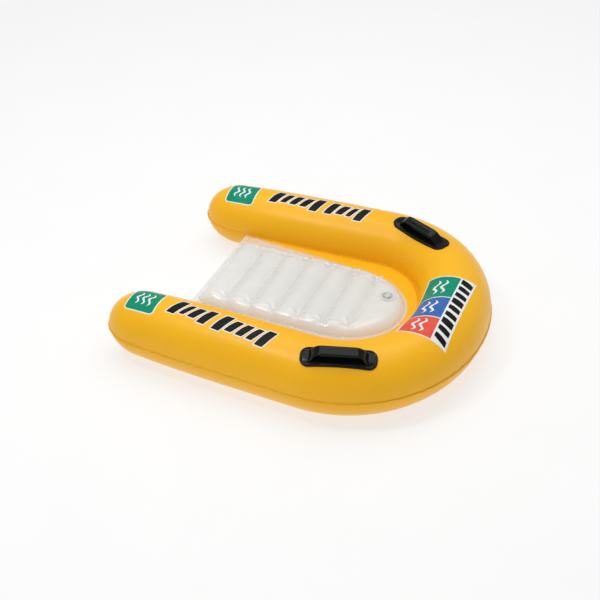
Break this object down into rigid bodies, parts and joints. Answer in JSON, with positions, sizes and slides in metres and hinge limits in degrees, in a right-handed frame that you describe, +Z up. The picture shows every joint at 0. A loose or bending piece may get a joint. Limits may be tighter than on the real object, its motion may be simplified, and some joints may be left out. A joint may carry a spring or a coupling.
{
  "type": "inflatable kickboard float",
  "caption": "U-shaped inflatable kickboard: a round air tube with a ribbed clear air deck, moulded grab handles and push-in stem valves.",
  "frame": {"origin": "floor point under the middle of the float's outline", "axes": "+X to the rider's right, +Y towards the round bow, +Z up"},
  "size_m": [0.6602, 0.7646, 0.1763],
  "materials": {
    "yellow_vinyl": "satin-gloss golden yellow PVC film",
    "clear_vinyl": "glossy clear PVC film with a milky cast",
    "rib_vinyl": "clear PVC film",
    "black_vinyl": "glossy black moulded PVC",
    "valve_vinyl": "soft translucent moulded PVC"
  },
  "bodies": {
    "float": {"tube_top_sheet": "yellow_vinyl", "tube_bottom_sheet": "yellow_vinyl", "deck_top_sheet": "clear_vinyl", "deck_bottom_sheet": "clear_vinyl", "deck_rib_1": "rib_vinyl", "deck_rib_2": "rib_vinyl", "deck_rib_3": "rib_vinyl", "deck_rib_4": "rib_vinyl", "deck_rib_5": "rib_vinyl", "deck_rib_6": "rib_vinyl", "right_handle": "black_vinyl", "left_handle": "black_vinyl", "deck_valve_collar": "valve_vinyl", "deck_valve_diaphragm": "valve_vinyl", "tube_valve_collar": "valve_vinyl", "tube_valve_diaphragm": "valve_vinyl"},
    "deck_valve_stem": {"deck_valve_stem": "valve_vinyl"},
    "deck_valve_plug": {"deck_valve_plug": "valve_vinyl"},
    "deck_valve_flap": {"deck_valve_flap": "valve_vinyl"},
    "tube_valve_stem": {"tube_valve_stem": "valve_vinyl"},
    "tube_valve_plug": {"tube_valve_plug": "valve_vinyl"},
    "tube_valve_flap": {"tube_valve_flap": "valve_vinyl"}
  },
  "joints": [
    {"name": "deck_valve_pull", "type": "slide", "parent": "float", "child": "deck_valve_stem", "axis": [0, 0, 1], "range_m": [0, 0.011], "deforming": ["deck_valve_diaphragm"]},
    {"name": "deck_valve_plug_swing", "type": "hinge", "parent": "deck_valve_stem", "child": "deck_valve_plug", "pos_m": [-0.0236, 0.1515, 0.09595], "axis": [0, 1, 0], "range_deg": [0, 140]},
    {"name": "deck_valve_flap_swing", "type": "hinge", "parent": "deck_valve_stem", "child": "deck_valve_flap", "pos_m": [-0.0368, 0.1515, 0.0801], "axis": [0, 1, 0], "range_deg": [0, 60], "stiffness_Nm_per_rad": 0.00002},
    {"name": "tube_valve_pull", "type": "slide", "parent": "float", "child": "tube_valve_stem", "axis": [-0.8474, -0.0324, 0.5299], "range_m": [0, 0.011], "deforming": ["tube_valve_diaphragm"]},
    {"name": "tube_valve_plug_swing", "type": "hinge", "parent": "tube_valve_stem", "child": "tube_valve_plug", "pos_m": [-0.31278, -0.03843, 0.11645], "axis": [-0.5295, -0.0202, -0.848], "range_deg": [0, 140]},
    {"name": "tube_valve_flap_swing", "type": "hinge", "parent": "tube_valve_stem", "child": "tube_valve_flap", "pos_m": [-0.29884, -0.05111, 0.10805], "axis": [-0.5295, -0.0202, -0.848], "range_deg": [0, 60], "stiffness_Nm_per_rad": 0.00002}
  ]
}
